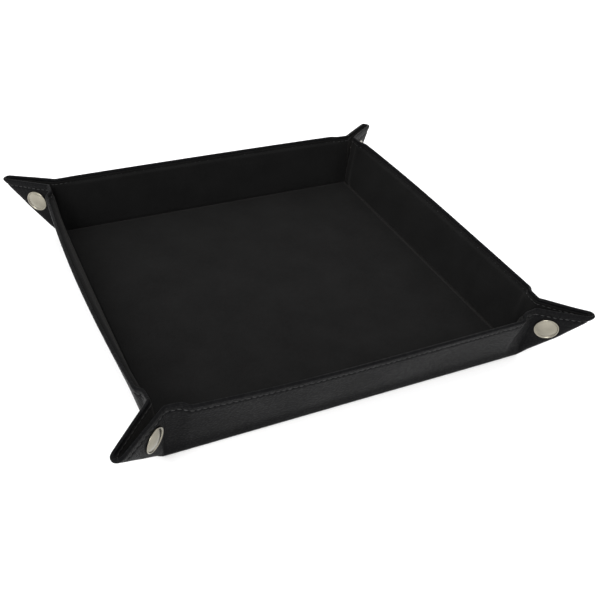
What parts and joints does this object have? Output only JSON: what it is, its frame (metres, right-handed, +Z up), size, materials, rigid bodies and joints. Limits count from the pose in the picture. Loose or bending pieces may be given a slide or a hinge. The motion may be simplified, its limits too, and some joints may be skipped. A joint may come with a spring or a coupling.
{
  "type": "folding dice tray",
  "caption": "Square folding dice tray with stiffened walls, a velvet lining and corner ears held by snap fasteners; it opens flat.",
  "frame": {"origin": "middle of the floor's underside, where the tray rests on the table", "axes": "+Z up; +Y towards the back wall; +X towards the right wall"},
  "size_m": [0.268, 0.268, 0.0373],
  "materials": {
    "cover_leatherette": "black pebbled polyurethane leatherette",
    "lining_velvet": "black short-pile velvet",
    "stiffener_board": "grey pressed fibreboard",
    "snap_nickel": "polished nickel plate",
    "snap_inner_metal": "nickel-plated pressed brass"
  },
  "bodies": {
    "base": {"base_cover": "cover_leatherette", "base_board": "stiffener_board", "base_lining": "lining_velvet"},
    "right_wall": {"right_cover": "cover_leatherette", "right_board": "stiffener_board", "right_lining": "lining_velvet"},
    "back_wall": {"back_cover": "cover_leatherette", "back_board": "stiffener_board", "back_lining": "lining_velvet"},
    "left_wall": {"left_cover": "cover_leatherette", "left_board": "stiffener_board", "left_lining": "lining_velvet"},
    "front_wall": {"front_cover": "cover_leatherette", "front_board": "stiffener_board", "front_lining": "lining_velvet"},
    "back_right_leaf_right": {"back_right_leaf_right_cover": "cover_leatherette", "back_right_leaf_right_lining": "lining_velvet", "back_right_cap": "snap_nickel", "back_right_socket": "snap_inner_metal"},
    "back_right_leaf_back": {"back_right_leaf_back_cover": "cover_leatherette", "back_right_leaf_back_lining": "lining_velvet", "back_right_post": "snap_nickel", "back_right_stud": "snap_inner_metal"},
    "back_left_leaf_back": {"back_left_leaf_back_cover": "cover_leatherette", "back_left_leaf_back_lining": "lining_velvet", "back_left_post": "snap_nickel", "back_left_stud": "snap_inner_metal"},
    "back_left_leaf_left": {"back_left_leaf_left_cover": "cover_leatherette", "back_left_leaf_left_lining": "lining_velvet", "back_left_cap": "snap_nickel", "back_left_socket": "snap_inner_metal"},
    "front_left_leaf_left": {"front_left_leaf_left_cover": "cover_leatherette", "front_left_leaf_left_lining": "lining_velvet", "front_left_post": "snap_nickel", "front_left_stud": "snap_inner_metal"},
    "front_left_leaf_front": {"front_left_leaf_front_cover": "cover_leatherette", "front_left_leaf_front_lining": "lining_velvet", "front_left_cap": "snap_nickel", "front_left_socket": "snap_inner_metal"},
    "front_right_leaf_front": {"front_right_leaf_front_cover": "cover_leatherette", "front_right_leaf_front_lining": "lining_velvet", "front_right_cap": "snap_nickel", "front_right_socket": "snap_inner_metal"},
    "front_right_leaf_right": {"front_right_leaf_right_cover": "cover_leatherette", "front_right_leaf_right_lining": "lining_velvet", "front_right_post": "snap_nickel", "front_right_stud": "snap_inner_metal"}
  },
  "joints": [
    {"name": "front_wall_fold", "type": "hinge", "parent": "base", "child": "front_wall", "pos_m": [0, -0.105, 0.0012], "axis": [1, 0, 0], "range_deg": [0, 76]},
    {"name": "right_wall_fold", "type": "hinge", "parent": "base", "child": "right_wall", "pos_m": [0.105, 0, 0.0012], "axis": [0, 1, 0], "range_deg": [0, 76]},
    {"name": "back_wall_fold", "type": "hinge", "parent": "base", "child": "back_wall", "pos_m": [0, 0.105, 0.0012], "axis": [-1, 0, 0], "range_deg": [0, 76]},
    {"name": "left_wall_fold", "type": "hinge", "parent": "base", "child": "left_wall", "pos_m": [-0.105, 0, 0.0012], "axis": [0, -1, 0], "range_deg": [0, 76]},
    {"name": "back_right_leaf_right_fold", "type": "hinge", "parent": "right_wall", "child": "back_right_leaf_right", "pos_m": [0.105, 0.105, 0.0012], "axis": [0.2419, 0, 0.9703], "range_deg": [0, 35.87]},
    {"name": "back_right_leaf_back_fold", "type": "hinge", "parent": "back_wall", "child": "back_right_leaf_back", "pos_m": [0.105, 0.105, 0.0012], "axis": [0, -0.2419, -0.9703], "range_deg": [0, 35.87]},
    {"name": "back_left_leaf_back_fold", "type": "hinge", "parent": "back_wall", "child": "back_left_leaf_back", "pos_m": [-0.105, 0.105, 0.0012], "axis": [0, 0.2419, 0.9703], "range_deg": [0, 35.87]},
    {"name": "back_left_leaf_left_fold", "type": "hinge", "parent": "left_wall", "child": "back_left_leaf_left", "pos_m": [-0.105, 0.105, 0.0012], "axis": [0.2419, 0, -0.9703], "range_deg": [0, 35.87]},
    {"name": "front_left_leaf_left_fold", "type": "hinge", "parent": "left_wall", "child": "front_left_leaf_left", "pos_m": [-0.105, -0.105, 0.0012], "axis": [-0.2419, 0, 0.9703], "range_deg": [0, 35.87]},
    {"name": "front_left_leaf_front_fold", "type": "hinge", "parent": "front_wall", "child": "front_left_leaf_front", "pos_m": [-0.105, -0.105, 0.0012], "axis": [0, 0.2419, -0.9703], "range_deg": [0, 35.87]},
    {"name": "front_right_leaf_front_fold", "type": "hinge", "parent": "front_wall", "child": "front_right_leaf_front", "pos_m": [0.105, -0.105, 0.0012], "axis": [0, -0.2419, 0.9703], "range_deg": [0, 35.87]},
    {"name": "front_right_leaf_right_fold", "type": "hinge", "parent": "right_wall", "child": "front_right_leaf_right", "pos_m": [0.105, -0.105, 0.0012], "axis": [-0.2419, 0, -0.9703], "range_deg": [0, 35.87]}
  ],
  "couplings": [
    {"joint": "right_wall_fold", "follows": "front_wall_fold", "ratio": 1},
    {"joint": "back_wall_fold", "follows": "front_wall_fold", "ratio": 1},
    {"joint": "left_wall_fold", "follows": "front_wall_fold", "ratio": 1},
    {"joint": "back_right_leaf_right_fold", "follows": "front_wall_fold", "ratio": 0.47191},
    {"joint": "back_right_leaf_back_fold", "follows": "front_wall_fold", "ratio": 0.47191},
    {"joint": "back_left_leaf_back_fold", "follows": "front_wall_fold", "ratio": 0.47191},
    {"joint": "back_left_leaf_left_fold", "follows": "front_wall_fold", "ratio": 0.47191},
    {"joint": "front_left_leaf_left_fold", "follows": "front_wall_fold", "ratio": 0.47191},
    {"joint": "front_left_leaf_front_fold", "follows": "front_wall_fold", "ratio": 0.47191},
    {"joint": "front_right_leaf_front_fold", "follows": "front_wall_fold", "ratio": 0.47191},
    {"joint": "front_right_leaf_right_fold", "follows": "front_wall_fold", "ratio": 0.47191}
  ]
}
